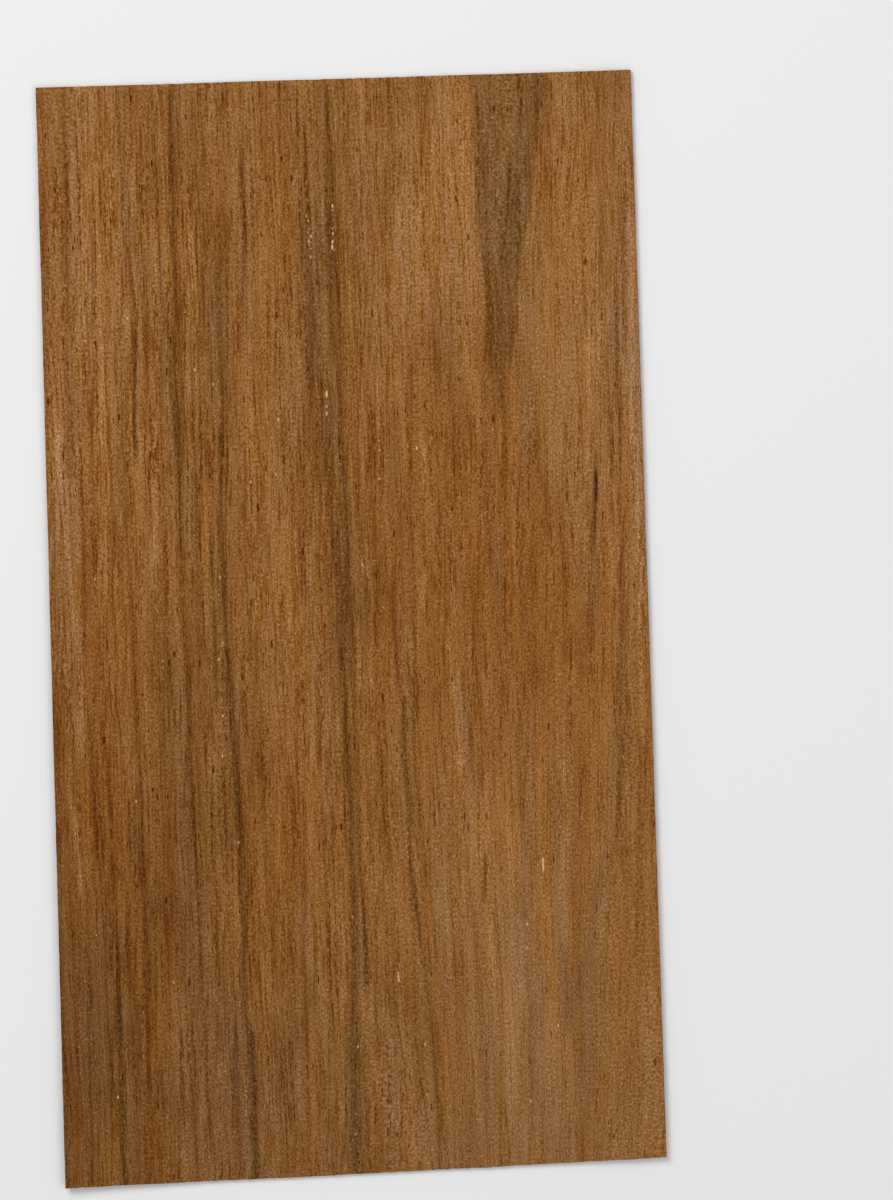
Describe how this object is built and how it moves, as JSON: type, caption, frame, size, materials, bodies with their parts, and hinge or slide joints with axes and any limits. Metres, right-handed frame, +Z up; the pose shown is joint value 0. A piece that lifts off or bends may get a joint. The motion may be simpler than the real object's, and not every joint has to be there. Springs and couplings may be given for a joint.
{
  "type": "wood veneer sheet",
  "caption": "Thin near-rectangular leaf of walnut veneer, cut to size with a knife: flat along its middle, long edges lifting slightly. It is glued down by its underside.",
  "frame": {"origin": "on the floor under the middle of the sheet's bounding box", "axes": "+X across the grain to the right, +Y along the grain from the foot end to the head end, +Z up out of the show face"},
  "size_m": [0.1202, 0.22, 0.0019],
  "materials": {
    "walnut_veneer": "matte"
  },
  "bodies": {
    "root": {"veneer_sheet": "walnut_veneer"}
  },
  "joints": []
}
